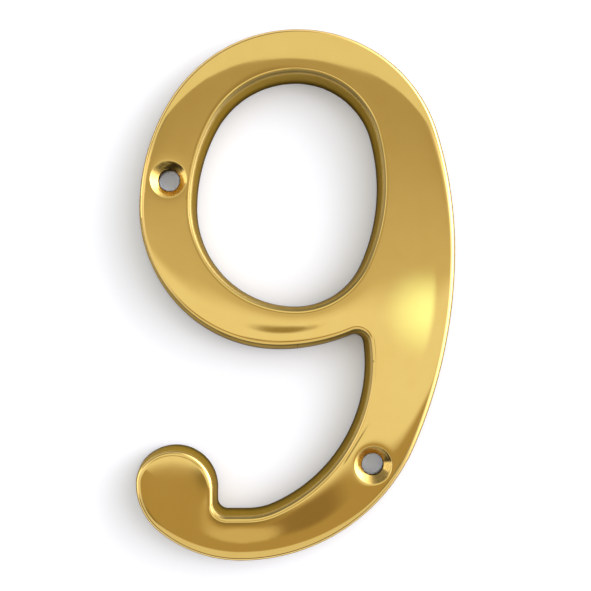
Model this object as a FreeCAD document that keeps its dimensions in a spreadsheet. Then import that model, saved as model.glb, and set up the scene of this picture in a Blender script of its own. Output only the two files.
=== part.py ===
import FreeCAD, Part
import math
import os
import re

import Sketcher

# A cast brass door number: the figure nine, 4 in tall, in one piece.
#
# It lies on its flat back.  x runs to the figure's right, y up the figure and z out of its
# face.  The origin is at the middle of the back.  The outline is drawn with tangent arcs, as
# a pattern maker draws it.  A form cutter follows that outline and gives the wall its draft,
# the corner its round and the face its slight fall towards the edge.  Two countersunk screw
# holes go through it, each opened wider from the back.

# Lengths are in millimetres and angles in degrees.  A round ratio is the radius of a quarter's
# tighter arc over that quarter's shorter side.  It is below 1, which would be a quarter circle.
SIZES = {
    # Whole figure
    "figure_height": 101.6,
    "figure_width": 61.2,
    "thickness": 6.35,
    # Strokes at the back, each where it is measured straight across or straight up
    "top_stroke": 9.6,
    "right_stroke": 14.8,
    "left_stroke": 10.95,
    "bowl_stroke": 8.3,
    "stem_width": 17.3,
    "tail_stroke": 9.25,
    # Bowl, the closed upper part
    "bowl_height": 61.8,
    "bowl_setback": 0.3,
    "crown_shift": 0.4,
    "widest_drop": 42.2,
    "underside_shift": 3.3,
    "crown_round_ratio": 0.93,
    "shoulder_round_ratio": 0.95,
    # Counter, the opening inside the bowl
    "counter_foot_shift": 0.2,
    "counter_waist_drop": 20.7,
    "counter_crown_round_ratio": 0.955,
    "counter_waist_round_ratio": 0.875,
    "counter_shoulder_round_ratio": 0.905,
    # Stem and tail
    "foot_shift": 10.4,
    "foot_round_ratio": 0.88,
    "heel_round_ratio": 0.8,
    "stem_drop": 2.5,
    "stem_relief_radius": 29.6,
    "notch_radius": 1.75,
    "underside_radius": 36.0,
    "tail_round_ratio": 0.55,
    # Bulb at the end of the tail
    "bulb_width": 15.5,
    "bulb_waist_height": 14.9,
    "bulb_crown_rise": 6.55,
    "bulb_crown_offset": 7.4,
    "cheek_round_ratio": 0.92,
    "hook_radius": 1.95,
    "hook_floor": 5.8,
    # Section of the edge
    "land_height": 0.4,
    "draft_angle": 5.0,
    "edge_radius": 1.1,
    "fall_width": 2.2,
    "fall_radius": 23.0,
    "fall_start_angle": 1.4,
    # Screw holes
    "bore": 4.0,
    "countersink": 7.1,
    "countersink_angle": 82.0,
    "back_relief": 6.2,
    "back_relief_depth": 3.9,
    "upper_hole_drop": 29.6,
    "upper_hole_shift": 0.5,
    "lower_hole_turn_angle": 43.7,
    "lower_hole_depth_ratio": 0.595,
    # How far the form cutter reaches past the solid
    "cutter_room": 0.8,
}

# Places on the outline, each an x and a y in terms of the sizes.
TOP = ("crown_shift", "figure_height / 2")
RIGHT = ("figure_width / 2", "figure_height / 2 - widest_drop")
FOOT = ("-foot_shift", "-figure_height / 2")
BULB_LEFT = ("-figure_width / 2", "bulb_waist_height - figure_height / 2")
BULB_TOP = ("bulb_crown_offset - figure_width / 2", f"{BULB_LEFT[1]} + bulb_crown_rise")
BULB_SIDE_X = "bulb_width - figure_width / 2"
TAIL = (f"{BULB_SIDE_X} + hook_floor", "tail_stroke - figure_height / 2")
UNDERSIDE = ("-underside_shift", "figure_height / 2 - bowl_height")
STEM = ("figure_width / 2 - stem_width", f"{UNDERSIDE[1]} - stem_drop")
LEFT_X = "bowl_setback - figure_width / 2"
LEFT = (LEFT_X, f"{UNDERSIDE[1]} - underside_shift - ({LEFT_X})")
COUNTER_TOP = ("0", "figure_height / 2 - top_stroke")
COUNTER_RIGHT = ("figure_width / 2 - right_stroke", f"{COUNTER_TOP[1]} - counter_waist_drop")
COUNTER_FOOT = ("-counter_foot_shift", f"{UNDERSIDE[1]} + bowl_stroke")
COUNTER_LEFT_X = f"{LEFT_X} + left_stroke"
COUNTER_LEFT = (COUNTER_LEFT_X, f"{COUNTER_FOOT[1]} - counter_foot_shift - ({COUNTER_LEFT_X})")
UPPER_HOLE = (
    f"{LEFT_X} + left_stroke / 2 + upper_hole_shift",
    "figure_height / 2 - upper_hole_drop",
)

# The lower hole lies between the inside of the tail and the foot, both taken as ellipses.
INSIDE_X = f"{TAIL[0]} + ({STEM[0]} - ({TAIL[0]})) * cos(lower_hole_turn_angle)"
INSIDE_Y = f"{STEM[1]} + ({TAIL[1]} - ({STEM[1]})) * sin(lower_hole_turn_angle)"
OUTSIDE_X = f"{FOOT[0]} + ({RIGHT[0]} - ({FOOT[0]})) * cos(lower_hole_turn_angle)"
OUTSIDE_Y = f"{RIGHT[1]} + ({FOOT[1]} - ({RIGHT[1]})) * sin(lower_hole_turn_angle)"
LOWER_HOLE = (
    f"({INSIDE_X}) * (1 - lower_hole_depth_ratio) + ({OUTSIDE_X}) * lower_hole_depth_ratio",
    f"({INSIDE_Y}) * (1 - lower_hole_depth_ratio) + ({OUTSIDE_Y}) * lower_hole_depth_ratio",
)

doc = FreeCAD.newDocument("door_number")
sheet = doc.addObject("Spreadsheet::Sheet", "sizes")
for row, (name, size) in enumerate(SIZES.items(), start=1):
    sheet.set(f"A{row}", name)
    sheet.set(f"B{row}", str(size))
    sheet.setAlias(f"B{row}", name)
doc.recompute()


def value(text):
    """The number that an expression of sizes comes to."""
    return float(sheet.evalExpression(text))


def point(place):
    return tuple(value(text) for text in place)


def bound(text):
    """The same expression as an object outside the sheet has to write it."""
    return re.sub("[a-z_]+", lambda word: qualified(word.group()), text)


def qualified(word):
    return "sizes." + word if word in SIZES else word


def origin_plane(body, role):
    return next(item for item in body.Origin.OriginFeatures if item.Role == role)


def round_about(centre, radius):
    return Part.Circle(FreeCAD.Vector(*centre, 0), FreeCAD.Vector(0, 0, 1), radius)


class Drawing:
    """A sketch whose pieces follow each other round and take their sizes from the sheet."""

    def __init__(self, body, name, role, offset="0"):
        self.sketch = body.newObject("Sketcher::SketchObject", name)
        self.sketch.AttachmentSupport = [(origin_plane(body, role), "")]
        self.sketch.MapMode = "FlatFace"
        self.sketch.setExpression(".AttachmentOffset.Base.z", bound(offset))
        self.chain = []

    def line(self, start, end):
        segment = Part.LineSegment(FreeCAD.Vector(*start, 0), FreeCAD.Vector(*end, 0))
        piece = (self.sketch.addGeometry(segment, False), 1, 2)
        self.chain.append(piece)
        return piece

    def arc(self, centre, start, end, clockwise):
        """An arc about a centre.  The sketch's own arcs run anticlockwise, the other kind in reverse."""
        low, high = (math.atan2(y - centre[1], x - centre[0]) for x, y in (start, end))
        if clockwise:
            low, high = high, low
        if high < low:
            high += 2 * math.pi
        circle = round_about(centre, math.dist(centre, start))
        index = self.sketch.addGeometry(Part.ArcOfCircle(circle, low, high), False)
        piece = (index, 2, 1) if clockwise else (index, 1, 2)
        self.chain.append(piece)
        return piece

    def quarter(self, start, end, starts_flat, round_ratio, clockwise):
        """Two tangent arcs from a place where the outline runs flat to one where it runs upright."""
        first, second = point(start), point(end)
        flat, upright = (first, second) if starts_flat else (second, first)
        across, along = abs(upright[0] - flat[0]), abs(upright[1] - flat[1])
        short, long = sorted((across, along))
        tight = value(round_ratio) * short
        wide = (short**2 + long**2 - 2 * long * tight) / (2 * (short - tight))
        flat_radius, upright_radius = (tight, wide) if across < along else (wide, tight)
        flat_centre = (flat[0], flat[1] + math.copysign(flat_radius, upright[1] - flat[1]))
        upright_centre = (upright[0] + math.copysign(upright_radius, flat[0] - upright[0]), upright[1])
        near, far = (flat_centre, upright_centre) if across < along else (upright_centre, flat_centre)
        share = wide / math.dist(near, far)
        join = tuple(f + (n - f) * share for n, f in zip(near, far))
        centres = (flat_centre, upright_centre) if starts_flat else (upright_centre, flat_centre)
        pieces = (
            self.arc(centres[0], first, join, clockwise),
            self.arc(centres[1], join, second, clockwise),
        )
        tighter = pieces[0] if (across < along) == starts_flat else pieces[1]
        axis = 0 if across < along else 1
        shorter_side = f"abs({end[axis]} - ({start[axis]}))"
        self.size("Radius", (tighter[0],), f"{round_ratio} * {shorter_side}", round_ratio)
        return pieces

    def size(self, kind, references, text, name):
        """A dimension that follows the sheet."""
        number = math.radians(value(text)) if kind == "Angle" else value(text)
        index = self.sketch.addConstraint(Sketcher.Constraint(kind, *references, number))
        self.sketch.renameConstraint(index, name)
        unit = " * 1 deg" if kind == "Angle" else ""
        self.sketch.setExpression(f"Constraints.{name}", f"({bound(text)}){unit}")

    def hold(self, piece, name, x=None, y=None, runs=None):
        """Set where a piece ends, and whether an arc runs flat or upright there."""
        index, _, end = piece
        for kind, text in (("DistanceX", x), ("DistanceY", y)):
            if text is not None:
                self.size(kind, (-1, 1, index, end), text, f"{name}_{kind[-1].lower()}")
        if runs is not None:
            level = "Vertical" if runs == "flat" else "Horizontal"
            self.sketch.addConstraint(Sketcher.Constraint(level, index, 3, index, end))

    def close(self, smooth_joints):
        """Join the pieces end to end, smoothly at the first joints and with a corner at the rest."""
        following = self.chain[1:] + self.chain[:1]
        for count, (piece, other) in enumerate(zip(self.chain, following)):
            kind = "Tangent" if count < smooth_joints else "Coincident"
            self.sketch.addConstraint(Sketcher.Constraint(kind, piece[0], piece[2], other[0], other[1]))
        return self.sketch


def draw_outline(body):
    """The figure's outer edge at its back, clockwise from the top of the bowl."""
    drawing = Drawing(body, "outline", "XY_Plane")
    crown = drawing.quarter(TOP, RIGHT, True, "crown_round_ratio", clockwise=True)
    drawing.hold(crown[1], "right", *RIGHT, runs="upright")
    foot = drawing.quarter(RIGHT, FOOT, False, "foot_round_ratio", clockwise=True)
    drawing.hold(foot[1], "foot", *FOOT, runs="flat")
    heel = drawing.quarter(FOOT, BULB_LEFT, True, "heel_round_ratio", clockwise=True)
    drawing.hold(heel[1], "bulb_left", *BULB_LEFT, runs="upright")
    cheek = drawing.quarter(BULB_LEFT, BULB_TOP, False, "cheek_round_ratio", clockwise=True)
    drawing.hold(cheek[1], "bulb_top", *BULB_TOP, runs="flat")

    bulb_top, tail, stem = point(BULB_TOP), point(TAIL), point(STEM)
    underside, left = point(UNDERSIDE), point(LEFT)
    side_x = value(BULB_SIDE_X)
    cap_radius = side_x - bulb_top[0]
    bulb_side = (side_x, bulb_top[1] - cap_radius)
    cap = drawing.arc((bulb_top[0], bulb_side[1]), bulb_top, bulb_side, clockwise=True)
    drawing.hold(cap, "bulb_side", x=BULB_SIDE_X, runs="upright")
    hook = value("hook_radius")
    hook_start, hook_end = (side_x, tail[1] + hook), (side_x + hook, tail[1])
    drawing.line(bulb_side, hook_start)
    corner = drawing.arc((hook_end[0], hook_start[1]), hook_start, hook_end, clockwise=False)
    drawing.size("Radius", (corner[0],), "hook_radius", "hook_radius")
    floor = drawing.line(hook_end, tail)
    drawing.hold(floor, "tail", *TAIL)
    drawing.sketch.addConstraint(Sketcher.Constraint("Horizontal", floor[0]))
    inner = drawing.quarter(TAIL, STEM, True, "tail_round_ratio", clockwise=False)
    drawing.hold(inner[1], "stem", *STEM, runs="upright")

    # The notch is a small arc inside the stem's relief and outside the arc of the underside.
    relief, notch, under = (
        value(size) for size in ("stem_relief_radius", "notch_radius", "underside_radius")
    )
    relief_centre = (stem[0] - relief, stem[1])
    under_centre = (underside[0], underside[1] + under)
    notch_centre = meeting_point(relief_centre, relief - notch, under_centre, under + notch)
    relief_end = beyond(relief_centre, notch_centre, relief)
    notch_end = beyond(under_centre, notch_centre, under)
    relief_arc = drawing.arc(relief_centre, stem, relief_end, clockwise=False)
    drawing.size("Radius", (relief_arc[0],), "stem_relief_radius", "stem_relief_radius")
    notch_arc = drawing.arc(notch_centre, relief_end, notch_end, clockwise=False)
    drawing.size("Radius", (notch_arc[0],), "notch_radius", "notch_radius")
    under_arc = drawing.arc(under_centre, notch_end, underside, clockwise=True)
    drawing.size("Radius", (under_arc[0],), "underside_radius", "underside_radius")
    drawing.hold(under_arc, "underside", *UNDERSIDE, runs="flat")

    bowl = drawing.arc((underside[0], left[1]), underside, left, clockwise=True)
    drawing.hold(bowl, "left", x=LEFT_X, runs="upright")
    shoulder = drawing.quarter(LEFT, TOP, False, "shoulder_round_ratio", clockwise=True)
    drawing.hold(shoulder[1], "top", *TOP, runs="flat")
    return drawing.close(smooth_joints=len(drawing.chain))


def meeting_point(first, first_distance, second, second_distance):
    """The right-hand point at the given distances from two others."""
    gap = math.dist(first, second)
    towards = ((second[0] - first[0]) / gap, (second[1] - first[1]) / gap)
    along = (first_distance**2 - second_distance**2 + gap**2) / (2 * gap)
    aside = math.sqrt(first_distance**2 - along**2)
    return (
        first[0] + along * towards[0] + aside * towards[1],
        first[1] + along * towards[1] - aside * towards[0],
    )


def beyond(start, through, distance):
    """The point at a distance from start on the line through another point."""
    share = distance / math.dist(start, through)
    return tuple(s + (t - s) * share for s, t in zip(start, through))


def draw_counter(body):
    """The edge of the counter at the back, clockwise from its top."""
    drawing = Drawing(body, "counter_outline", "XY_Plane")
    crown = drawing.quarter(COUNTER_TOP, COUNTER_RIGHT, True, "counter_crown_round_ratio", clockwise=True)
    drawing.hold(crown[1], "right", *COUNTER_RIGHT, runs="upright")
    waist = drawing.quarter(
        COUNTER_RIGHT, COUNTER_FOOT, False, "counter_waist_round_ratio", clockwise=True
    )
    drawing.hold(waist[1], "foot", *COUNTER_FOOT, runs="flat")
    foot, left = point(COUNTER_FOOT), point(COUNTER_LEFT)
    lower = drawing.arc((foot[0], left[1]), foot, left, clockwise=True)
    drawing.hold(lower, "left", x=COUNTER_LEFT_X, runs="upright")
    shoulder = drawing.quarter(
        COUNTER_LEFT, COUNTER_TOP, False, "counter_shoulder_round_ratio", clockwise=True
    )
    drawing.hold(shoulder[1], "top", *COUNTER_TOP, runs="flat")
    return drawing.close(smooth_joints=len(drawing.chain))


def draw_cutter(body, name, edge, inward):
    """The form cutter's section at a place on the outline.  Inward is 1 or -1, towards the metal."""
    drawing = Drawing(body, name, "YZ_Plane", offset=edge[0])
    thickness, land, room = (value(size) for size in ("thickness", "land_height", "cutter_room"))
    radius, fall_width, fall_radius = (
        value(size) for size in ("edge_radius", "fall_width", "fall_radius")
    )
    draft, start_angle = (math.radians(value(size)) for size in ("draft_angle", "fall_start_angle"))
    edge_angle = math.asin(math.sin(start_angle) + fall_width / fall_radius)
    drop = fall_radius * (math.cos(start_angle) - math.cos(edge_angle))
    round_height = thickness - drop - radius * math.cos(edge_angle)
    wall_top_height = round_height + radius * math.sin(draft)
    wall_top_depth = (wall_top_height - land) * math.tan(draft)
    round_depth = wall_top_depth + radius * math.cos(draft)
    fall_end_depth = round_depth - radius * math.sin(edge_angle)
    face_depth = fall_end_depth + fall_width
    wall_foot_depth = -(land + room) * math.tan(draft)

    def at(depth, height):
        return (value(edge[1]) + inward * depth, height)

    wall_foot, wall_top = at(wall_foot_depth, -room), at(wall_top_depth, wall_top_height)
    fall_end, face = at(fall_end_depth, thickness - drop), at(face_depth, thickness)
    ahead, above = math.cos(start_angle), math.sin(start_angle)
    fall_centre = at(face_depth + fall_radius * above, thickness - fall_radius * ahead)
    lead = at(face_depth + room * ahead, thickness + room * above)
    roof = thickness + room
    outside = at(wall_foot_depth - room, 0)[0]
    clockwise = inward > 0

    wall = drawing.line(wall_foot, wall_top)
    corner = drawing.arc(at(round_depth, round_height), wall_top, fall_end, clockwise)
    fall = drawing.arc(fall_centre, fall_end, face, clockwise)
    lead_out = drawing.line(face, lead)
    side = drawing.line(lead, (lead[0], roof))
    top = drawing.line((lead[0], roof), (outside, roof))
    back = drawing.line((outside, roof), (outside, -room))
    bottom = drawing.line((outside, -room), wall_foot)
    sketch = drawing.close(smooth_joints=3)

    sign = "" if inward > 0 else "-"
    foot_text = f"{edge[1]} - ({sign}(land_height + cutter_room) * tan(draft_angle))"
    drawing.hold(bottom, "wall_foot", x=foot_text, y="-cutter_room")
    drawing.size("Angle", (wall[0],), f"90 - ({sign}draft_angle)", "wall_angle")
    drawing.size("Radius", (corner[0],), "edge_radius", "edge_radius")
    drawing.size("Radius", (fall[0],), "fall_radius", "fall_radius")
    drawing.hold(fall, "face", y="thickness")
    ends = (fall[0], fall[1], fall[0], fall[2]) if inward > 0 else (fall[0], fall[2], fall[0], fall[1])
    drawing.size("DistanceX", ends, "fall_width", "fall_width")
    lead_angle = "fall_start_angle" if inward > 0 else "180 - fall_start_angle"
    drawing.size("Angle", (lead_out[0],), lead_angle, "lead_angle")
    drawing.size("Distance", (lead_out[0],), "cutter_room", "lead_length")
    for upright, level in ((side, top), (back, bottom)):
        sketch.addConstraint(Sketcher.Constraint("Vertical", upright[0]))
        sketch.addConstraint(Sketcher.Constraint("Horizontal", level[0]))
    drawing.hold(top, "outside", x=f"{foot_text} - ({sign}cutter_room)", y="thickness + cutter_room")
    return sketch


def draw_rounds(body, name, height, radius):
    """A circle about each screw hole, at a height."""
    drawing = Drawing(body, name, "XY_Plane", offset=height)
    for hole, place in (("upper", UPPER_HOLE), ("lower", LOWER_HOLE)):
        index = drawing.sketch.addGeometry(round_about(point(place), value(radius)), False)
        drawing.hold((index, None, 3), hole, *place)
        drawing.size("Radius", (index,), radius, f"{hole}_radius")
    return drawing.sketch


def cut_edge(body, name, path, section):
    """Run a form cutter along a closed outline."""
    cut = body.newObject("PartDesign::SubtractivePipe", name)
    cut.Profile = section
    cut.Spine = path
    cut.Mode = "Binormal"
    cut.Binormal = FreeCAD.Vector(0, 0, 1)
    return cut


def build_numeral():
    body = doc.addObject("PartDesign::Body", "numeral_nine")
    body.Label = "numeral_nine"
    outline = draw_outline(body)
    counter = draw_counter(body)

    plate = body.newObject("PartDesign::Pad", "plate")
    plate.Profile = outline
    plate.setExpression("Length", bound("thickness"))

    opening = body.newObject("PartDesign::Pocket", "counter")
    opening.Profile = counter
    opening.Type = "ThroughAll"
    opening.Reversed = True

    outer_section = draw_cutter(body, "outer_section", TOP, inward=-1)
    counter_section = draw_cutter(body, "counter_section", COUNTER_TOP, inward=1)
    cut_edge(body, "outer_edge", outline, outer_section)
    cut_edge(body, "counter_edge", counter, counter_section)
    doc.recompute()

    holes = body.newObject("PartDesign::Hole", "screw_holes")
    holes.Profile = draw_rounds(body, "screw_centres", "thickness", "bore / 2")
    holes.DepthType = "ThroughAll"
    holes.ThreadType = "None"
    holes.HoleCutType = "Countersink"
    holes.HoleCutCustomValues = True
    holes.setExpression("Diameter", bound("bore"))
    holes.setExpression("HoleCutDiameter", bound("countersink"))
    holes.setExpression("HoleCutCountersinkAngle", bound("countersink_angle"))

    reliefs = body.newObject("PartDesign::Pocket", "back_reliefs")
    reliefs.Profile = draw_rounds(body, "back_rounds", "0", "back_relief / 2")
    reliefs.Type = "Length"
    reliefs.Reversed = True
    reliefs.setExpression("Length", bound("back_relief_depth"))
    doc.recompute()
    return body


def check(body):
    """Stop if a feature failed, or took no metal away."""
    for item in doc.Objects:
        if "Invalid" in item.State or "Error" in item.State:
            raise RuntimeError(f"{item.Name} failed: {item.State}")
    before = None
    for name in ("plate", "counter", "outer_edge", "counter_edge", "screw_holes", "back_reliefs"):
        volume = doc.getObject(name).Shape.Volume
        if before is not None and not 0 < volume < before:
            raise RuntimeError(f"{name} cut nothing")
        before = volume
    if body.Shape.isNull() or not body.Shape.isValid() or len(body.Shape.Solids) != 1:
        raise RuntimeError(f"{body.Label} is not one sound solid")


numeral = build_numeral()
check(numeral)
os.makedirs("parts", exist_ok=True)
numeral.Shape.exportStep(f"parts/{numeral.Label}.step")
print(f"{numeral.Label}: volume {numeral.Shape.Volume:.0f} cubic mm")
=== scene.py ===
import math

import bmesh
import bpy
import numpy as np
from mathutils import Matrix, Vector
from mathutils.geometry import delaunay_2d_cdt


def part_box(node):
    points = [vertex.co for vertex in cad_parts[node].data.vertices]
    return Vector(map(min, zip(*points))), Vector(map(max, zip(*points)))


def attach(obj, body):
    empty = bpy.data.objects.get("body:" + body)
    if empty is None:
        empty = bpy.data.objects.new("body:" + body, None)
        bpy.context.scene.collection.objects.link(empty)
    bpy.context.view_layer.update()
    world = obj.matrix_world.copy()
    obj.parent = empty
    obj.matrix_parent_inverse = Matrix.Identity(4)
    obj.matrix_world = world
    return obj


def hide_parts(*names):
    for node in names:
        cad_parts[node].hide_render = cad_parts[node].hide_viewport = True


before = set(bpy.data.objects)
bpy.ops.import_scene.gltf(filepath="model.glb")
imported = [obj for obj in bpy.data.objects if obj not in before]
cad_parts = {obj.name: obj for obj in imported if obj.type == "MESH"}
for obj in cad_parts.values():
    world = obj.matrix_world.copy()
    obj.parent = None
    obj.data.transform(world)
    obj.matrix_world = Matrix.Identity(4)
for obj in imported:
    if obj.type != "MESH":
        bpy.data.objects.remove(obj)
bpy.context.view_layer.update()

# The brass door number, finely meshed and polished, on a white table under a studio's lights.
#
# The drawing below is in millimetres, and every mesh is made in metres.  x runs to the figure's
# right, y up the figure and z out of its face.
MM = 0.001
NODE = "numeral_nine"
HALF_WIDTH, HALF_HEIGHT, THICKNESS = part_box(NODE)[1] / MM

# Strokes and places of the figure at its back, in millimetres
TOP_STROKE = 9.6
RIGHT_STROKE = 14.8
LEFT_STROKE = 10.95
BOWL_STROKE = 8.3
STEM_WIDTH = 17.3
TAIL_STROKE = 9.25
BOWL_HEIGHT = 61.8
BOWL_SETBACK = 0.3
CROWN_SHIFT = 0.4
WIDEST_DROP = 42.2
UNDERSIDE_SHIFT = 3.3
COUNTER_FOOT_SHIFT = 0.2
COUNTER_WAIST_DROP = 20.7
FOOT_SHIFT = 10.4
STEM_DROP = 2.5
STEM_RELIEF_RADIUS = 29.6
NOTCH_RADIUS = 1.75
UNDERSIDE_RADIUS = 36.0
BULB_WIDTH = 15.5
BULB_HEIGHT = 21.45
BULB_WAIST_HEIGHT = 14.9
BULB_CROWN_OFFSET = 7.4
HOOK_RADIUS = 1.95
HOOK_FLOOR = 5.8

# Radius of each quarter's tighter arc over the quarter's shorter side
CROWN_ROUND = 0.93
SHOULDER_ROUND = 0.95
FOOT_ROUND = 0.88
HEEL_ROUND = 0.8
TAIL_ROUND = 0.55
CHEEK_ROUND = 0.92
COUNTER_CROWN_ROUND = 0.955
COUNTER_WAIST_ROUND = 0.875
COUNTER_SHOULDER_ROUND = 0.905

# Section of the edge: lengths in millimetres, angles in radians
ARRIS = 0.1
ARRIS_MIDDLE = 0.3
LAND_HEIGHT = 0.4
DRAFT = math.radians(5.0)
EDGE_RADIUS = 1.1
OUTER_TILT = 0.12
INNER_TILT = 0.03
UNDERSIDE_TILT = 0.07
BULB_TILT = 0.015
SMOOTH_REACH = 4.0
FALL_WIDTH = 4.6
FALL_POWER = 3

# Screw holes, with the fine rings of the countersinks and the eased rims
BORE_RADIUS = 2.0
COUNTERSINK_RADIUS = 3.55
COUNTERSINK_SLOPE = math.tan(math.radians(41.0))
UPPER_HOLE = (-24.325, 21.2)
LOWER_HOLE = (14.3, -32.617)
RELIEF_RADIUS = 3.1
RELIEF_DEPTH = 3.9
RING_PITCH = 0.085
RING_SLOPE = 0.26
RING_WANDER = 1.5
RIM_ROUND = 0.25

# Dishes polished round the holes: hole, depth and how far the dish reaches
DISHES = ((UPPER_HOLE, 0.05, 0.8), (LOWER_HOLE, 0.02, 0.45))

# Scratches on the face: start, end and width
SCRATCHES = (((8.4, -33.0), (13.9, -24.2), 0.24), ((14.1, -12.8), (14.6, -13.5), 0.2))

# Mesh: spacing of its points in millimetres, and numbers of rows
OUTLINE_STEP = 0.36
OUTLINE_TURN = math.radians(7)
FACE_STEP = 0.5
FACE_ROWS = (0.1, 0.22, 0.37, 0.55, 0.76, 1.0, 1.3, 1.65, 2.05)
FACE_RINGS = (0.22, 0.32, 0.44, 0.6, 0.8, 1.08, 1.5)
RING_CLEARANCE = 0.12
EDGE_CLEARANCE = 0.06
GRID_CLEARANCE = 0.6 * FACE_STEP
RIM_POINTS = 96
RIM_PASSES = 6
RIM_STEPS = 4
CONE_STEPS = 7
CONE_DULL_START = 0.92
FINISHES = ("polished", "cast", "turned")
SECTION_STEPS = 9
WALL_STEPS = 4
CHUNK = 500
FILL_REACH = 1e-7
JOIN_REACH = 0.002
SHARP_ANGLE = math.radians(24)

# Bands of the edge, from the back up, that are left dull: foot, wall and some of the round
FOOT_BANDS = 3
OUTER_DULL_BANDS = FOOT_BANDS + WALL_STEPS + 4
INNER_DULL_BANDS = OUTER_DULL_BANDS + 2
COUNTER_DULL_BANDS = INNER_DULL_BANDS + 1

# Camera, found from the photograph: it looks almost straight down on the figure
IMAGE_SIZE = 591
FOCAL_PIXELS = 923
CAMERA_HEIGHT = 180.0
CAMERA_FOOT = (-4.15, -8.24)
STRAIGHT_DOWN_PIXEL = (275, 335)
SENSOR = 36.0
CLIP_START = 0.001

# Colours of the brass, and of what its shaders mix in
POLISHED = ((0.78, 0.53, 0.165, 1), (0.82, 0.575, 0.20, 1))
SCRATCHED = (0.20, 0.12, 0.03, 1)
CAST = ((0.37, 0.25, 0.08, 1), (0.48, 0.335, 0.11, 1))
# Painted shade: darker brass mixed in at the foot of the walls, at the top of the dull round and in
# the bores
CAST_PAINTED_FOOT_SHADE = (0.06, 0.05, 0.03, 1)
CAST_PAINTED_SHOULDER_SHADE = (0.19, 0.145, 0.055, 1)
CAST_PAINTED_BORE_SHADE = (0.03, 0.022, 0.012, 1)
CAST_GLANCING = (0.5, 0.4, 0.22, 1)
TURNED = ((0.64, 0.42, 0.11, 1), (0.78, 0.53, 0.16, 1))
WHITE = (1, 1, 1, 1)

# The table top: half its side in metres, its colours, and its spots of painted light under the holes
TABLE_REACH = 1.5
TABLE_SEEN = (1.0, 1.01, 1.12, 1)
TABLE_PAINTED_LIGHT_UNDER_HOLE = (2.3, 2.5, 3.2, 1)
TABLE_UNSEEN = (0.5, 0.5, 0.5, 1)
HOLE_PAINTED_LIGHT_REACH = (2.4, 2.6)

# What the face mirrors overhead, from the south to the north of the room
OVERHEAD_SOUTH = (0.52, 0.42, 0.22, 1)
OVERHEAD_BAND = (1.03, 1.05, 0.95, 1)
OVERHEAD_MIDDLE = (0.74, 0.70, 0.54, 1)
OVERHEAD_NORTH = (0.54, 0.48, 0.32, 1)
SOUTH_WALL = (0.88, 0.88, 0.78, 1)
WINDOW = (0.97, 0.985, 0.86, 1)

# Soft discs overhead: east and north, squeeze, reach of the soft edge, share and colour
SOUTH_DISCS = (
    ((0.03, -0.185), 1.0, (0.025, 0.06), 1.0, (0.33, 0.25, 0.13, 1)),
    ((-0.035, -0.215), 0.9, (0.025, 0.045), 1.0, (0.74, 0.68, 0.48, 1)),
)
OVERHEAD_DISCS = (
    ((0.0, 0.17), 2.2, (0.06, 0.1), 0.8, (0.36, 0.30, 0.17, 1)),
    ((-0.045, -0.145), 0.6, (0.008, 0.032), 0.8, (0.26, 0.22, 0.11, 1)),
    ((0.166, 0.024), 1.0, (0.0, 0.056), 1.0, (1.45, 1.9, 1.65, 1)),
    ((0.01, -0.014), 0.6, (0.01, 0.032), 1.0, (0.40, 0.34, 0.18, 1)),
)


class Outline:
    """A closed run of arcs and lines, kept as points with the way to the metal at each."""

    def __init__(self, metal_on_right):
        self.places = []
        self.inward = []
        self.tilts = []
        self.tilt = INNER_TILT
        self.dull_bands = []
        self.dull = INNER_DULL_BANDS
        self.metal_on_right = metal_on_right

    def add(self, place, left):
        """Add a point, with the way to the left of the outline's run there."""
        turn = -1 if self.metal_on_right else 1
        self.places.append(place)
        self.inward.append((turn * left[0], turn * left[1]))
        self.tilts.append(self.tilt)
        self.dull_bands.append(self.dull)

    def line(self, start, end):
        length = math.dist(start, end)
        along = ((end[0] - start[0]) / length, (end[1] - start[1]) / length)
        steps = math.ceil(length / OUTLINE_STEP)
        for step in range(steps):
            reach = length * step / steps
            place = (start[0] + along[0] * reach, start[1] + along[1] * reach)
            self.add(place, (-along[1], along[0]))

    def arc(self, centre, start, end, clockwise):
        radius = math.dist(centre, start)
        first, last = (math.atan2(y - centre[1], x - centre[0]) for x, y in (start, end))
        sweep = (first - last if clockwise else last - first) % math.tau
        steps = math.ceil(max(radius * sweep / OUTLINE_STEP, sweep / OUTLINE_TURN))
        sign = 1 if clockwise else -1
        for step in range(steps):
            angle = first - sign * sweep * step / steps
            across, up = math.cos(angle), math.sin(angle)
            place = (centre[0] + radius * across, centre[1] + radius * up)
            self.add(place, (sign * across, sign * up))

    def quarter(self, start, end, starts_flat, round_ratio, clockwise=True):
        """Two tangent arcs between a place where the outline runs flat and an upright one."""
        flat, upright = (start, end) if starts_flat else (end, start)
        over, down = flat[0] - upright[0], upright[1] - flat[1]
        across, along = abs(over), abs(down)
        short, long = sorted((across, along))
        tight = round_ratio * short
        wide = (short**2 + long**2 - 2 * long * tight) / (2 * (short - tight))
        flat_radius, upright_radius = (tight, wide) if across < along else (wide, tight)
        flat_centre = (flat[0], flat[1] + math.copysign(flat_radius, down))
        upright_centre = (upright[0] + math.copysign(upright_radius, over), upright[1])
        centres = [flat_centre, upright_centre]
        near, far = centres if across < along else centres[::-1]
        share = wide / math.dist(near, far)
        join = tuple(f + (n - f) * share for n, f in zip(near, far))
        first, last = centres if starts_flat else centres[::-1]
        self.arc(first, start, join, clockwise)
        self.arc(last, join, end, clockwise)

    def inset(self, depth):
        """The points moved into the metal, by one depth or by one for each."""
        return np.array(self.places) + np.reshape(depth, (-1, 1)) * np.array(self.inward)

    def smooth(self, values):
        """The values at the points, changing gently along the edge."""
        reach = round(SMOOTH_REACH / OUTLINE_STEP)
        wrapped = np.pad(values, reach, mode="wrap")
        return np.convolve(wrapped, np.full(2 * reach + 1, 1 / (2 * reach + 1)), mode="valid")

    def smooth_tilt(self):
        """How steeply the face falls at each point."""
        return self.smooth(self.tilts)


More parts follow.
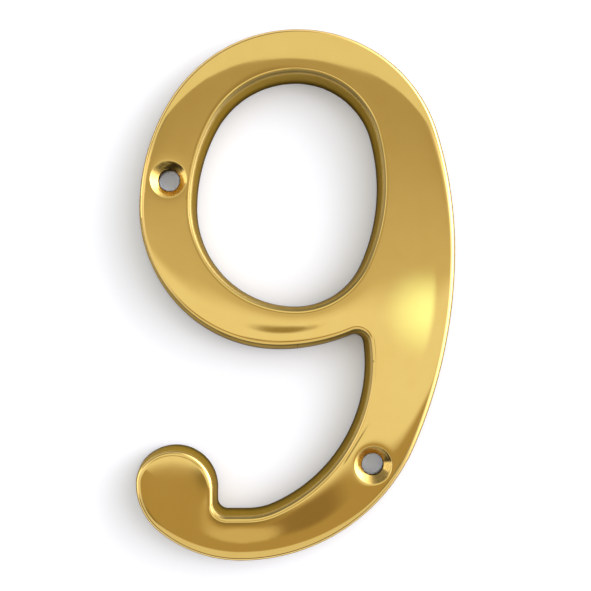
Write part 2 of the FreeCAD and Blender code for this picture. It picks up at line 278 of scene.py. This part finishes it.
def meeting_point(first, first_distance, second, second_distance):
    """The right-hand point at the given distances from two others."""
    gap = math.dist(first, second)
    towards = ((second[0] - first[0]) / gap, (second[1] - first[1]) / gap)
    along = (first_distance**2 - second_distance**2 + gap**2) / (2 * gap)
    aside = math.sqrt(first_distance**2 - along**2)
    return (
        first[0] + along * towards[0] + aside * towards[1],
        first[1] + along * towards[1] - aside * towards[0],
    )


def beyond(start, through, distance):
    """The point at a distance from start on the line through another point."""
    share = distance / math.dist(start, through)
    return tuple(s + (t - s) * share for s, t in zip(start, through))


UNDERSIDE = (-UNDERSIDE_SHIFT, HALF_HEIGHT - BOWL_HEIGHT)


def draw_figure():
    """The figure's outer edge, clockwise from the top of the bowl, in tangent arcs."""
    top = (CROWN_SHIFT, HALF_HEIGHT)
    right = (HALF_WIDTH, HALF_HEIGHT - WIDEST_DROP)
    foot = (-FOOT_SHIFT, -HALF_HEIGHT)
    bulb_left = (-HALF_WIDTH, BULB_WAIST_HEIGHT - HALF_HEIGHT)
    bulb_top = (BULB_CROWN_OFFSET - HALF_WIDTH, BULB_HEIGHT - HALF_HEIGHT)
    side_x = BULB_WIDTH - HALF_WIDTH
    tail = (side_x + HOOK_FLOOR, TAIL_STROKE - HALF_HEIGHT)
    stem = (HALF_WIDTH - STEM_WIDTH, UNDERSIDE[1] - STEM_DROP)
    left_x = BOWL_SETBACK - HALF_WIDTH
    left = (left_x, UNDERSIDE[1] - UNDERSIDE_SHIFT - left_x)

    figure = Outline(metal_on_right=True)
    figure.tilt, figure.dull = OUTER_TILT, OUTER_DULL_BANDS
    figure.quarter(top, right, True, CROWN_ROUND)
    figure.quarter(right, foot, False, FOOT_ROUND)
    figure.quarter(foot, bulb_left, True, HEEL_ROUND)
    figure.tilt = BULB_TILT
    figure.quarter(bulb_left, bulb_top, False, CHEEK_ROUND)

    cap_radius = side_x - bulb_top[0]
    bulb_side = (side_x, bulb_top[1] - cap_radius)
    hook_start = (side_x, tail[1] + HOOK_RADIUS)
    hook_end = (side_x + HOOK_RADIUS, tail[1])
    figure.arc((bulb_top[0], bulb_side[1]), bulb_top, bulb_side, clockwise=True)
    figure.tilt, figure.dull = INNER_TILT, INNER_DULL_BANDS
    figure.line(bulb_side, hook_start)
    figure.arc((hook_end[0], hook_start[1]), hook_start, hook_end, clockwise=False)
    figure.line(hook_end, tail)
    figure.quarter(tail, stem, True, TAIL_ROUND, clockwise=False)

    relief_centre = (stem[0] - STEM_RELIEF_RADIUS, stem[1])
    under_centre = (UNDERSIDE[0], UNDERSIDE[1] + UNDERSIDE_RADIUS)
    notch_centre = meeting_point(
        relief_centre,
        STEM_RELIEF_RADIUS - NOTCH_RADIUS,
        under_centre,
        UNDERSIDE_RADIUS + NOTCH_RADIUS,
    )
    relief_end = beyond(relief_centre, notch_centre, STEM_RELIEF_RADIUS)
    notch_end = beyond(under_centre, notch_centre, UNDERSIDE_RADIUS)
    figure.arc(relief_centre, stem, relief_end, clockwise=False)
    figure.arc(notch_centre, relief_end, notch_end, clockwise=False)
    figure.tilt = UNDERSIDE_TILT
    figure.arc(under_centre, notch_end, UNDERSIDE, clockwise=True)
    figure.arc((UNDERSIDE[0], left[1]), UNDERSIDE, left, clockwise=True)
    figure.tilt, figure.dull = OUTER_TILT, OUTER_DULL_BANDS
    figure.quarter(left, top, False, SHOULDER_ROUND)
    return figure


def draw_counter():
    """The edge of the counter, clockwise from its top, in tangent arcs."""
    top = (0.0, HALF_HEIGHT - TOP_STROKE)
    right = (HALF_WIDTH - RIGHT_STROKE, top[1] - COUNTER_WAIST_DROP)
    foot = (-COUNTER_FOOT_SHIFT, UNDERSIDE[1] + BOWL_STROKE)
    left_x = BOWL_SETBACK - HALF_WIDTH + LEFT_STROKE
    left = (left_x, foot[1] - COUNTER_FOOT_SHIFT - left_x)
    counter = Outline(metal_on_right=False)
    counter.dull = COUNTER_DULL_BANDS
    counter.quarter(top, right, True, COUNTER_CROWN_ROUND)
    counter.quarter(right, foot, False, COUNTER_WAIST_ROUND)
    counter.arc((foot[0], left[1]), foot, left, clockwise=True)
    counter.quarter(left, top, False, COUNTER_SHOULDER_ROUND)
    return counter


def edge_heights(tilt):
    """The face's fall at an edge, and the heights where the round ends and where it is centred."""
    fall = tilt * FALL_WIDTH / (FALL_POWER + 1)
    centre = THICKNESS - fall - EDGE_RADIUS * np.cos(tilt)
    return fall, centre + EDGE_RADIUS * math.sin(DRAFT), centre


def round_inset(tilt):
    """How far inside the outline the round is centred."""
    wall_top = edge_heights(tilt)[1]
    return (wall_top - LAND_HEIGHT) * math.tan(DRAFT) + EDGE_RADIUS * math.cos(DRAFT)


def face_inset(tilt):
    """How far inside the outline the face begins."""
    return round_inset(tilt) - EDGE_RADIUS * np.sin(tilt)


def edge_section(tilt):
    """Inset and height of each row of points from the back up to the face."""
    _, wall_top, centre = edge_heights(tilt)
    level = np.zeros_like(tilt)
    middle = level + ARRIS * ARRIS_MIDDLE
    rows = [(level + ARRIS, level), (middle, middle)]
    rows += [(level, level + ARRIS), (level, level + LAND_HEIGHT)]
    for step in range(1, WALL_STEPS):
        rise = (wall_top - LAND_HEIGHT) * step / WALL_STEPS
        rows.append((rise * math.tan(DRAFT), LAND_HEIGHT + rise))
    for step in range(SECTION_STEPS + 1):
        slope = math.pi / 2 - DRAFT + (tilt - math.pi / 2 + DRAFT) * step / SECTION_STEPS
        inset = round_inset(tilt) - EDGE_RADIUS * np.sin(slope)
        rows.append((inset, centre + EDGE_RADIUS * np.cos(slope)))
    return rows


def face_height(places, depth, tilt):
    """Height of the face at places, from their depth inside it and the tilt at the nearest edge."""
    share = np.clip(1 - (depth - face_inset(tilt)) / FALL_WIDTH, 0, 1)
    height = THICKNESS - edge_heights(tilt)[0] * share ** (FALL_POWER + 1)
    for hole, dish, reach in DISHES:
        away = np.hypot(places[:, 0] - hole[0], places[:, 1] - hole[1]) - COUNTERSINK_RADIUS
        height = height - dish * np.exp(-np.maximum(away, 0) / reach)
    return height


def depth_inside(places, outlines):
    """Distance from each place to the nearest edge of the figure's back, and the tilt there."""
    depth = np.full(len(places), np.inf)
    tilt = np.zeros(len(places))
    for outline in outlines:
        start = outline.inset(0)
        tilts = outline.smooth_tilt()
        run = np.roll(start, -1, axis=0) - start
        square = (run**2).sum(1)
        for first in range(0, len(places), CHUNK):
            chunk = slice(first, first + CHUNK)
            offset = places[chunk][:, None] - start[None]
            share = np.clip((offset * run).sum(2) / square, 0, 1)
            gaps = np.sqrt(((offset - share[..., None] * run) ** 2).sum(2))
            nearest = gaps.argmin(1)
            each = np.arange(len(nearest))
            gap, along = gaps[each, nearest], share[each, nearest]
            here = tilts[nearest] * (1 - along) + np.roll(tilts, -1)[nearest] * along
            tilt[chunk] = np.where(gap < depth[chunk], here, tilt[chunk])
            depth[chunk] = np.minimum(depth[chunk], gap)
    return depth, tilt


def inside(places, loop):
    """Whether each place lies inside a closed loop."""
    x, y = places[:, 0, None], places[:, 1, None]
    x0, y0 = loop[:, 0], loop[:, 1]
    x1, y1 = np.roll(x0, -1), np.roll(y0, -1)
    crosses = (y0 > y) != (y1 > y)
    with np.errstate(divide="ignore", invalid="ignore"):
        reach = x0 + (y - y0) * (x1 - x0) / (y1 - y0)
    return (crosses & (x < reach)).sum(1) % 2 == 1


def circle(centre, radius):
    """Points round a centre, at one radius or at one for each."""
    angle = np.arange(RIM_POINTS) * math.tau / RIM_POINTS
    return np.stack([centre[0] + radius * np.cos(angle), centre[1] + radius * np.sin(angle)], 1)


class Skin:
    """Points in millimetres, the faces between them, and each face's finish."""

    def __init__(self):
        self.points = []
        self.faces = []
        self.finishes = []

    def row(self, places, heights):
        """Add points and give their numbers."""
        first = len(self.points)
        heights = np.broadcast_to(heights, len(places))
        self.points.extend((x, y, z) for (x, y), z in zip(places, heights))
        return range(first, first + len(places))

    def strips(self, rows, metal_on_right, finish):
        """Bands of four-sided faces between closed rows, from the lowest up.

        The finish is a function of the band and of the point along it.
        """
        for band, (lower, upper) in enumerate(zip(rows, rows[1:])):
            count = len(lower)
            for index in range(count):
                after = (index + 1) % count
                corners = (lower[index], lower[after], upper[after], upper[index])
                self.face(corners[::-1] if metal_on_right else corners, finish(band, index))

    def face(self, corners, finish):
        self.faces.append(tuple(corners))
        self.finishes.append(FINISHES.index(finish))

    def sheet(self, loops, holes, extra, height, faces_up, finish):
        """Fill the first loop around the others, through extra places, at heights from a function."""
        places = np.concatenate(loops + holes + [extra])
        edges = []
        first = 0
        for loop in loops + holes:
            count = len(loop)
            edges += [(first + index, first + (index + 1) % count) for index in range(count)]
            first += count
        vectors = [Vector(place) for place in places]
        found = delaunay_2d_cdt(vectors, edges, [], 0, FILL_REACH, True)
        corners = np.array([list(place) for place in found[0]])
        triangles = np.array([face for face in found[2]])
        middle = corners[triangles].mean(1)
        keep = inside(middle, loops[0])
        for loop in loops[1:] + holes:
            keep &= ~inside(middle, loop)
        triangles = triangles[keep]
        offset = len(self.points)
        self.row(corners, height(corners))
        for triangle in triangles:
            a, b, c = corners[triangle]
            (run_x, run_y), (reach_x, reach_y) = b - a, c - a
            turns_left = run_x * reach_y - run_y * reach_x > 0
            order = triangle if turns_left == faces_up else triangle[::-1]
            self.face([int(index) + offset for index in order], finish)

    def mesh(self, name):
        made = bpy.data.meshes.new(name)
        made.from_pydata([Vector(point) * MM for point in self.points], [], self.faces)
        made.polygons.foreach_set("material_index", self.finishes)
        work = bmesh.new()
        work.from_mesh(made)
        bmesh.ops.remove_doubles(work, verts=work.verts, dist=JOIN_REACH * MM)
        lone = [vert for vert in work.verts if not vert.link_faces]
        bmesh.ops.delete(work, geom=lone, context="VERTS")
        work.to_mesh(made)
        work.free()
        made.shade_smooth()
        made.set_sharp_from_angle(angle=SHARP_ANGLE)
        return made


def face_places(figure, counter):
    """Points that fill the face: rows along its edges, rings round the holes, a grid between."""
    starts = [(outline, face_inset(outline.smooth_tilt())) for outline in (figure, counter)]
    rows = [outline.inset(start + step) for step in FACE_ROWS for outline, start in starts]
    x, y = np.meshgrid(
        np.arange(-HALF_WIDTH, HALF_WIDTH, FACE_STEP),
        np.arange(-HALF_HEIGHT, HALF_HEIGHT, FACE_STEP * math.sqrt(3) / 2),
    )
    x[1::2] += FACE_STEP / 2
    grid = np.stack([x.ravel(), y.ravel()], 1)
    grid = grid[inside(grid, figure.inset(0)) & ~inside(grid, counter.inset(0))]
    margin = face_inset(0) + FACE_ROWS[-1] + GRID_CLEARANCE
    grid = grid[depth_inside(grid, (figure, counter))[0] > margin]
    places = np.concatenate(rows + [grid])
    rings = []
    for hole in (UPPER_HOLE, LOWER_HOLE):
        away = np.hypot(*(places - hole).T)
        places = places[away > COUNTERSINK_RADIUS + FACE_RINGS[-1] + RING_CLEARANCE]
        rings += [circle(hole, COUNTERSINK_RADIUS + gap) for gap in FACE_RINGS]
    rings = np.concatenate(rings)
    margin = face_inset(0) + EDGE_CLEARANCE
    rings = rings[depth_inside(rings, (figure, counter))[0] > margin]
    return np.concatenate([places, rings])


def drill(skin, hole, height):
    """A countersunk hole, opened wider from the back.  Gives its rim, which follows the face."""
    radius = np.full(RIM_POINTS, COUNTERSINK_RADIUS)
    for _ in range(RIM_PASSES):
        corner_height = height(circle(hole, radius))
        radius = COUNTERSINK_RADIUS - (THICKNESS - corner_height) * COUNTERSINK_SLOPE
    turn = math.pi / 2 - math.atan(COUNTERSINK_SLOPE)
    start = RIM_ROUND * math.tan(turn / 2)
    rim = circle(hole, radius + start)
    rim_height = height(rim)
    cut = [skin.row(rim, rim_height)]
    for angle in np.linspace(0, turn, RIM_STEPS + 1)[1:]:
        across, drop = start - RIM_ROUND * math.sin(angle), RIM_ROUND * (1 - math.cos(angle))
        cut.append(skin.row(circle(hole, radius + across), rim_height - drop))
    cone_foot = THICKNESS - (COUNTERSINK_RADIUS - BORE_RADIUS) / COUNTERSINK_SLOPE
    for share in (*np.linspace(0, CONE_DULL_START, CONE_STEPS + 1)[1:], 1):
        ring = circle(hole, radius + across + (BORE_RADIUS - radius - across) * share)
        cut.append(skin.row(ring, rim_height - drop + (cone_foot - rim_height + drop) * share))
    cut.append(skin.row(circle(hole, BORE_RADIUS), RELIEF_DEPTH))
    finishes = ["cast"] * 2 + ["turned"] * CONE_STEPS + ["polished"] * RIM_STEPS
    skin.strips(cut[::-1], True, lambda band, _: finishes[band])

    relief = [(BORE_RADIUS, RELIEF_DEPTH), (RELIEF_RADIUS, RELIEF_DEPTH)]
    relief += [(RELIEF_RADIUS, ARRIS), (RELIEF_RADIUS + ARRIS, 0.0)]
    rows = [skin.row(circle(hole, reach), level) for reach, level in relief]
    skin.strips(rows[::-1], True, lambda *_: "cast")
    return rim


def build_numeral():
    """The whole figure as one closed mesh, in place of the CAD's."""
    figure, counter = draw_figure(), draw_counter()
    skin = Skin()

    def height(places):
        return face_height(places, *depth_inside(places, (figure, counter)))

    edges = []
    for outline in (figure, counter):
        tilt = outline.smooth_tilt()
        dull = np.round(outline.smooth(outline.dull_bands))
        edge = outline.inset(face_inset(tilt))
        section = edge_section(tilt)
        # Above the land the section is stretched a little, so that it meets the face everywhere.
        stretch = (height(edge) - LAND_HEIGHT) / (section[-1][1] - LAND_HEIGHT)
        rows = []
        for inset, level in section:
            risen = np.maximum(level - LAND_HEIGHT, 0)
            rows.append(skin.row(outline.inset(inset), level + risen * (stretch - 1)))
        skin.strips(
            rows,
            outline.metal_on_right,
            lambda band, index: "cast" if band < dull[index] else "polished",
        )
        edges.append(edge)

    rims = [drill(skin, hole, height) for hole in (UPPER_HOLE, LOWER_HOLE)]
    skin.sheet(edges, rims, face_places(figure, counter), height, True, "polished")
    backs = [figure.inset(ARRIS), counter.inset(ARRIS)]
    mouths = [circle(hole, RELIEF_RADIUS + ARRIS) for hole in (UPPER_HOLE, LOWER_HOLE)]
    skin.sheet(backs, mouths, np.empty((0, 2)), lambda places: 0.0, False, "cast")

    numeral = bpy.data.objects.new("polished_numeral", skin.mesh("polished_numeral"))
    bpy.context.collection.objects.link(numeral)
    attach(numeral, "root")
    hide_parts(NODE)
    return numeral


class Value:
    """A number in a shader, on which sums are written as in Python.  Each sum adds a node."""

    def __init__(self, shader, socket):
        self.shader = shader
        self.socket = socket

    def sum(self, operation, first, second=0.0):
        made = self.shader.node("ShaderNodeMath", {"operation": operation}, {0: first, 1: second})
        return Value(self.shader, made.outputs[0])

    def __add__(self, other):
        return self.sum("ADD", self, other)

    def __radd__(self, other):
        return self.sum("ADD", other, self)

    def __sub__(self, other):
        return self.sum("SUBTRACT", self, other)

    def __rsub__(self, other):
        return self.sum("SUBTRACT", other, self)

    def __mul__(self, other):
        return self.sum("MULTIPLY", self, other)

    def __rmul__(self, other):
        return self.sum("MULTIPLY", other, self)

    def __truediv__(self, other):
        return self.sum("DIVIDE", self, other)

    def __pow__(self, other):
        return self.sum("POWER", self, other)

    def above(self, other):
        """The larger of the two numbers."""
        return self.sum("MAXIMUM", self, other)

    def below(self, other):
        """The smaller of the two numbers."""
        return self.sum("MINIMUM", self, other)

    def ramp(self, start, end):
        """A smooth step from 0 at start to 1 at end."""
        made = self.shader.node(
            "ShaderNodeMapRange",
            {"interpolation_type": "SMOOTHSTEP"},
            {"Value": self, "From Min": start, "From Max": end},
        )
        return Value(self.shader, made.outputs["Result"])

    def root(self):
        return self.sum("SQRT", self)

    def fraction(self):
        return self.sum("FRACT", self)


class Shader:
    """A node tree, filled one node at a time."""

    def __init__(self, tree):
        self.tree = tree
        tree.nodes.clear()

    def node(self, kind, settings=None, inputs=None):
        """Add a node, make its settings, then set or link its sockets."""
        made = self.tree.nodes.new(kind)
        for name, setting in (settings or {}).items():
            setattr(made, name, setting)
        for name, value in (inputs or {}).items():
            socket = made.inputs[name] if isinstance(name, int) else self.find(made.inputs, name)
            if isinstance(value, Value):
                value = value.socket
            if isinstance(value, bpy.types.NodeSocket):
                self.tree.links.new(value, socket)
            else:
                socket.default_value = value
        return made

    @staticmethod
    def find(sockets, name):
        return next(socket for socket in sockets if name in (socket.identifier, socket.name))

    def value(self, kind, settings, inputs, output=0):
        return Value(self, self.node(kind, settings, inputs).outputs[output])

    def mix(self, share, first, second):
        """The first colour where the share is 0 and the second where it is 1."""
        inputs = {"Factor_Float": share, "A_Color": first, "B_Color": second}
        made = self.node("ShaderNodeMix", {"data_type": "RGBA"}, inputs)
        return self.find(made.outputs, "Result_Color")

    def part(self, vector, axis):
        """One of a vector's three numbers."""
        return self.value("ShaderNodeSeparateXYZ", {}, {0: vector}, axis)


def new_finish(piece, name):
    """A material in the piece's next slot, with its shader and the object's own coordinates."""
    material = bpy.data.materials.new(name)
    material.use_nodes = True
    piece.data.materials.append(material)
    shader = Shader(material.node_tree)
    return shader, shader.node("ShaderNodeTexCoord").outputs["Object"]


def stretched(shader, place, turn, scale):
    """The place, turned about z and stretched."""
    inputs = {"Vector": place, "Rotation": (0, 0, math.radians(turn)), "Scale": scale}
    return shader.node("ShaderNodeMapping", {}, inputs).outputs[0]


def noise(shader, place, scale, detail):
    """Soft noise from 0 to 1, its scale in waves to the metre."""
    inputs = {"Vector": place, "Scale": scale, "Detail": detail}
    return shader.value("ShaderNodeTexNoise", {}, inputs)


def surface_brass(shader, colour, roughness, height, glancing=WHITE):
    """Finish a brass shader.  The height of its relief is in metres."""
    bump = shader.node("ShaderNodeBump", {}, {"Strength": 1.0, "Distance": 1.0, "Height": height})
    inputs = {
        "Base Color": colour,
        "Metallic": 1.0,
        "Roughness": roughness,
        "Specular Tint": glancing,
        "Normal": bump.outputs[0],
    }
    brass = shader.node("ShaderNodeBsdfPrincipled", {}, inputs)
    shader.node("ShaderNodeOutputMaterial", {}, {"Surface": brass.outputs[0]})


def from_hole(shader, place):
    """How far a place lies from the axis of the screw hole on its side of the figure."""
    x, y = shader.part(place, 0), shader.part(place, 1)
    lower = x.ramp(-MM, MM)
    across = x - MM * (UPPER_HOLE[0] + (LOWER_HOLE[0] - UPPER_HOLE[0]) * lower)
    along = y - MM * (UPPER_HOLE[1] + (LOWER_HOLE[1] - UPPER_HOLE[1]) * lower)
    return (across**2 + along**2).root()


def scratch(shader, place, start, end, width):
    """How deep a place lies in a scratch from one point to another, from 0 to 1."""
    length = math.dist(start, end)
    run = [(last - first) / length for first, last in zip(start, end)]
    from_x, from_y = (shader.part(place, axis) - start[axis] * MM for axis in (0, 1))
    along = from_x * run[0] + from_y * run[1]
    aside = ((from_x * run[1] - from_y * run[0]) ** 2).root()
    depth = (1 - aside.ramp(0.0, width * MM)) * (1 - along.ramp(0.6 * length * MM, length * MM))
    return depth * along.ramp(0.0, 0.2 * length * MM)


def polish_face(numeral):
    """The polished face: a mirror, faintly wavy, with a fine grain left by the wheel."""
    shader, place = new_finish(numeral, "polished_brass")
    grain = noise(shader, stretched(shader, place, 62, (900, 9000, 900)), 1.0, 3.0)
    cloud = noise(shader, place, 240.0, 2.0)
    wave = noise(shader, place, 90.0, 1.0)
    longer, shorter = (scratch(shader, place, *run) for run in SCRATCHES)
    marks = longer.above(shorter)
    colour = shader.mix(0.7 * marks, shader.mix(cloud, *POLISHED), SCRATCHED)
    roughness = 0.02 + 0.02 * cloud + 0.02 * grain + 0.2 * marks
    surface_brass(shader, colour, roughness, wave * 3e-6 + grain * 8e-9 - marks * 4e-6)


def leave_cast(numeral):
    """The walls, lower rounds and back: dull brass with the casting's grain and file streaks, and
    painted shade at the foot of the walls and on the back, at the top of the dull round and in the
    bores.
    """
    shader, place = new_finish(numeral, "cast_brass")
    streaks = noise(shader, stretched(shader, place, 0, (1500, 1500, 160)), 1.0, 2.0)
    grain = noise(shader, place, 2600.0, 3.0)
    stain = noise(shader, place, 150.0, 2.0)
    height = shader.part(place, 2)
    # Painted shade in the bores: the brass within 2.3 mm of a hole's axis is painted nearly black
    outside_painted_bore_shade = from_hole(shader, place).ramp(2.3 * MM, 2.5 * MM)
    # Painted shade at the foot: the walls darken towards the back, standing in for the contact shadow
    colour = shader.mix(height.ramp(0.0, 3.2 * MM), CAST_PAINTED_FOOT_SHADE, shader.mix(stain, *CAST))
    # Painted shade: the top of the dull round, just under the polished face, is painted darker
    colour = shader.mix(0.6 * height.ramp(5.6 * MM, 6.2 * MM), colour, CAST_PAINTED_SHOULDER_SHADE)
    colour = shader.mix(outside_painted_bore_shade, CAST_PAINTED_BORE_SHADE, colour)
    relief = streaks * 6e-6 + grain * 5e-6
    surface_brass(shader, colour, 0.3 + 0.12 * streaks, relief, CAST_GLANCING)


def turn_countersinks(numeral):
    """The countersinks: fine rings left by the cutter, each a little flatter than the cone."""
    shader, place = new_finish(numeral, "turned_brass")
    uneven = noise(shader, place, 700.0, 2.0)
    turns = from_hole(shader, place) * (1 / (RING_PITCH * MM)) + uneven * RING_WANDER
    relief = turns.fraction() * (-RING_SLOPE * RING_PITCH * MM)
    surface_brass(shader, shader.mix(uneven, *TURNED), 0.1 + 0.05 * uneven, relief)


def lay_table():
    """A white table top that keeps the figure's shadow, with light painted on it as paler, bluer
    spots under the holes.
    """
    mesh = bpy.data.meshes.new("table_top")
    signs = ((-1, -1), (1, -1), (1, 1), (-1, 1))
    corners = [(x * TABLE_REACH, y * TABLE_REACH, 0) for x, y in signs]
    mesh.from_pydata(corners, [], [(0, 1, 2, 3)])
    table = bpy.data.objects.new("table_top", mesh)
    bpy.context.collection.objects.link(table)
    shader, _ = new_finish(table, "white_table")
    rays = shader.node("ShaderNodeLightPath").outputs
    seen = Value(shader, rays["Is Camera Ray"]).above(Value(shader, rays["Is Transmission Ray"]))
    seen = seen.above(Value(shader, rays["Is Glossy Ray"]))
    place = shader.node("ShaderNodeNewGeometry").outputs["Position"]
    white = TABLE_SEEN
    # Painted light: a paler, bluer spot on the table under each hole
    for x, y in (UPPER_HOLE, LOWER_HOLE):
        inputs = {0: place, 1: (x * MM, y * MM, 0)}
        away = shader.value("ShaderNodeVectorMath", {"operation": "DISTANCE"}, inputs, 1)
        spot = 1 - away.ramp(HOLE_PAINTED_LIGHT_REACH[0] * MM, HOLE_PAINTED_LIGHT_REACH[1] * MM)
        white = shader.mix(spot, white, TABLE_PAINTED_LIGHT_UNDER_HOLE)
    white = shader.mix(seen, TABLE_UNSEEN, white)
    paint = shader.node("ShaderNodeBsdfDiffuse", {}, {"Color": white})
    shader.node("ShaderNodeOutputMaterial", {}, {"Surface": paint.outputs[0]})


def towards(azimuth, elevation):
    """The direction at an azimuth and elevation in degrees, from the east round by the north."""
    azimuth, elevation = math.radians(azimuth), math.radians(elevation)
    level = math.cos(elevation)
    return (level * math.cos(azimuth), level * math.sin(azimuth), math.sin(elevation))


def light_studio():
    """The room: a broad light low in the east, and overhead what the face mirrors."""
    world = bpy.data.worlds.new("studio")
    bpy.context.scene.world = world
    world.use_nodes = True
    shader = Shader(world.node_tree)
    way = shader.node("ShaderNodeTexCoord").outputs["Generated"]
    to_east, to_north, up = (shader.part(way, axis) for axis in range(3))
    east, north = to_east / up.above(0.05), to_north / up.above(0.05)

    def facing(azimuth, elevation):
        """How nearly a direction is the given one, from 0 to 1."""
        inputs = {0: way, 1: towards(azimuth, elevation)}
        dot = shader.value("ShaderNodeVectorMath", {"operation": "DOT_PRODUCT"}, inputs, 1)
        return dot.above(0.0)

    def disc(under, place, squeeze, reach, share, colour):
        """A soft disc over what lies under it, its place and reach given overhead."""
        aside, ahead = (east - place[0]) * squeeze, north - place[1]
        away = (aside**2 + ahead**2).root()
        return shader.mix(share - share * away.ramp(*reach), under, colour)

    level = (1.0 - up**2).root().above(0.05)
    west, forth = (0 - to_east) / level, to_north / level
    lamp = 6.2 * facing(20, 15) ** 4
    high_west = 0.95 * west.ramp(0.7, 0.92) * up.ramp(0.35, 0.5)
    low_west = 1.5 * west.ramp(0.9, 0.98) * (1 - up.ramp(0.3, 0.5))
    north_half = 0.33 * forth.ramp(-0.1, 0.5)
    horizon = 0.6 * (1 - up.ramp(0.12, 0.3))
    light = 0.01 + lamp + high_west + low_west + north_half + horizon
    room = shader.node("ShaderNodeCombineColor", {}, {0: light, 1: light, 2: light}).outputs[0]

    # Straight overhead: a pale band across the middle, dimmer to the north, brown to the south
    overhead = shader.mix(north.ramp(0.05, 0.27), OVERHEAD_MIDDLE, OVERHEAD_NORTH)
    past_south = north.ramp(-0.16, -0.11)
    overhead = shader.mix(past_south * (1 - north.ramp(0.02, 0.07)), overhead, OVERHEAD_BAND)
    south = OVERHEAD_SOUTH
    for spot in SOUTH_DISCS:
        south = disc(south, *spot)
    overhead = shader.mix(1 - past_south, overhead, south)
    for spot in OVERHEAD_DISCS:
        overhead = disc(overhead, *spot)
    room = shader.mix(up.ramp(0.88, 0.93), room, overhead)

    # A window in the north and a pale wall in the south, seen in the edges of the face
    slant = 0.2 * east.below(0.03) - 0.07 * east.above(0.03)
    window = (north + slant).ramp(0.286, 0.292) * up.ramp(0.5, 0.62)
    room = shader.mix(window, room, WINDOW)
    wall = (1 - north.ramp(-0.39, -0.36)) * up.ramp(0.36, 0.48) * (1 - forth.ramp(-0.7, -0.4))
    room = shader.mix(wall, room, SOUTH_WALL)

    seen = Value(shader, shader.node("ShaderNodeLightPath").outputs["Is Camera Ray"])
    colour = shader.mix(seen, room, WHITE)
    glow = shader.node("ShaderNodeBackground", {}, {"Color": colour, "Strength": 1.0})
    shader.node("ShaderNodeOutputWorld", {}, {"Surface": glow.outputs[0]})


def set_camera():
    """The camera stands where the photograph's stood."""
    centre = IMAGE_SIZE / 2
    right, below = (pixel - centre for pixel in STRAIGHT_DOWN_PIXEL)
    down = Vector((right / FOCAL_PIXELS, -below / FOCAL_PIXELS, -1)).normalized()
    turn = Vector((0, 0, -1)).rotation_difference(down).to_matrix()
    data = bpy.data.cameras.new("camera")
    data.sensor_width = SENSOR
    data.lens = FOCAL_PIXELS / IMAGE_SIZE * SENSOR
    data.clip_start = CLIP_START
    camera = bpy.data.objects.new("camera", data)
    place = Matrix.Translation(Vector((*CAMERA_FOOT, CAMERA_HEIGHT)) * MM)
    camera.matrix_world = place @ turn.transposed().to_4x4()
    bpy.context.collection.objects.link(camera)
    bpy.context.scene.camera = camera


set_camera()
lay_table()
light_studio()
numeral = build_numeral()
polish_face(numeral)
leave_cast(numeral)
turn_countersinks(numeral)

bpy.context.scene.view_settings.view_transform = "Standard"
